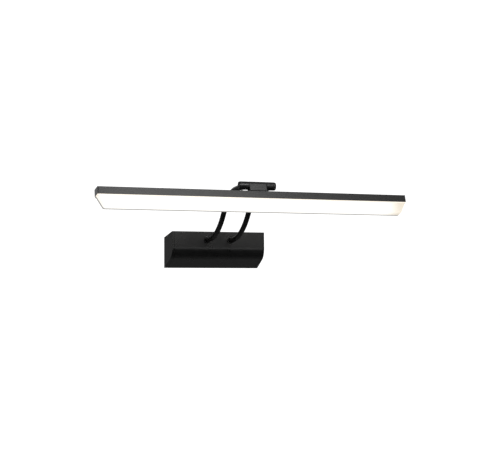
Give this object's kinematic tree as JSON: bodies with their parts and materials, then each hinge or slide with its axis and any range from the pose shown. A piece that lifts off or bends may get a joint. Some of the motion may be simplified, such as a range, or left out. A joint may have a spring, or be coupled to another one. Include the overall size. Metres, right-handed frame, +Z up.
{
  "type": "picture light",
  "caption": "Wall picture light: a long lit bar on a tilting hinge, held by two bent tube arms from a small wall base.",
  "frame": {"origin": "centre of the base's back face, midway between the two wall screw slots", "axes": "+Z up, +Y into the wall, +X along the bar"},
  "size_m": [0.4, 0.2326, 0.0979],
  "materials": {
    "black_paint": "satin black powder coat",
    "arm_paint": "satin black lacquer on bent tube",
    "black_metal": "satin black lacquer on turned metal",
    "hinge_grey": "satin charcoal paint",
    "housing_grey": "satin charcoal anodised look",
    "cap_grey": "satin charcoal paint",
    "black_screw": "blackened steel",
    "zinc_steel": "zinc plated sheet steel",
    "plain_steel": "bright zinc plated",
    "brass_parts": "plain brass",
    "white_plastic": "moulded white plastic",
    "washer_nylon": "black nylon",
    "black_rubber": "soft black rubber",
    "wire_cover": "insulated lead",
    "opal_diffuser": "opal acrylic, lit from inside",
    "board_white": "white solder mask on aluminium",
    "light_chips": "yellow phosphor over white chips"
  },
  "bodies": {
    "base": {"wall_plate": "zinc_steel", "base_cover": "black_paint", "base_cap_left": "black_paint", "base_cap_right": "black_paint", "cover_screws": "black_screw", "driver": "white_plastic", "driver_screws": "plain_steel", "terminal_block": "white_plastic", "terminal_screws": "brass_parts", "earth_screw": "brass_parts", "cable_grommet": "black_rubber", "mains_links": "wire_cover", "backing_plate": "zinc_steel", "arm_nut_left": "plain_steel", "arm_nut_right": "plain_steel", "arm_ferrule_left": "black_metal", "arm_ferrule_right": "black_metal", "arm_left": "arm_paint", "arm_right": "arm_paint", "arm_lead": "wire_cover", "knuckle_left": "black_metal", "knuckle_right": "black_metal", "hinge_plug_left": "black_metal", "hinge_plug_right": "black_metal", "friction_washers": "washer_nylon", "spring_washer": "plain_steel"},
    "lamp_head": {"tension_screw": "plain_steel", "tension_insert": "brass_parts", "pivot_tube": "plain_steel", "hinge_block": "hinge_grey", "block_screws": "plain_steel", "housing": "housing_grey", "head_cap_left": "cap_grey", "head_cap_right": "cap_grey", "diffuser": "opal_diffuser", "light_board": "board_white", "light_chips": "light_chips", "lamp_lead": "wire_cover"}
  },
  "joints": [
    {"name": "lamp_tilt", "type": "hinge", "parent": "base", "child": "lamp_head", "pos_m": [0, -0.21885, 0.07069], "axis": [1, 0, 0], "range_deg": [-145, 35]}
  ]
}
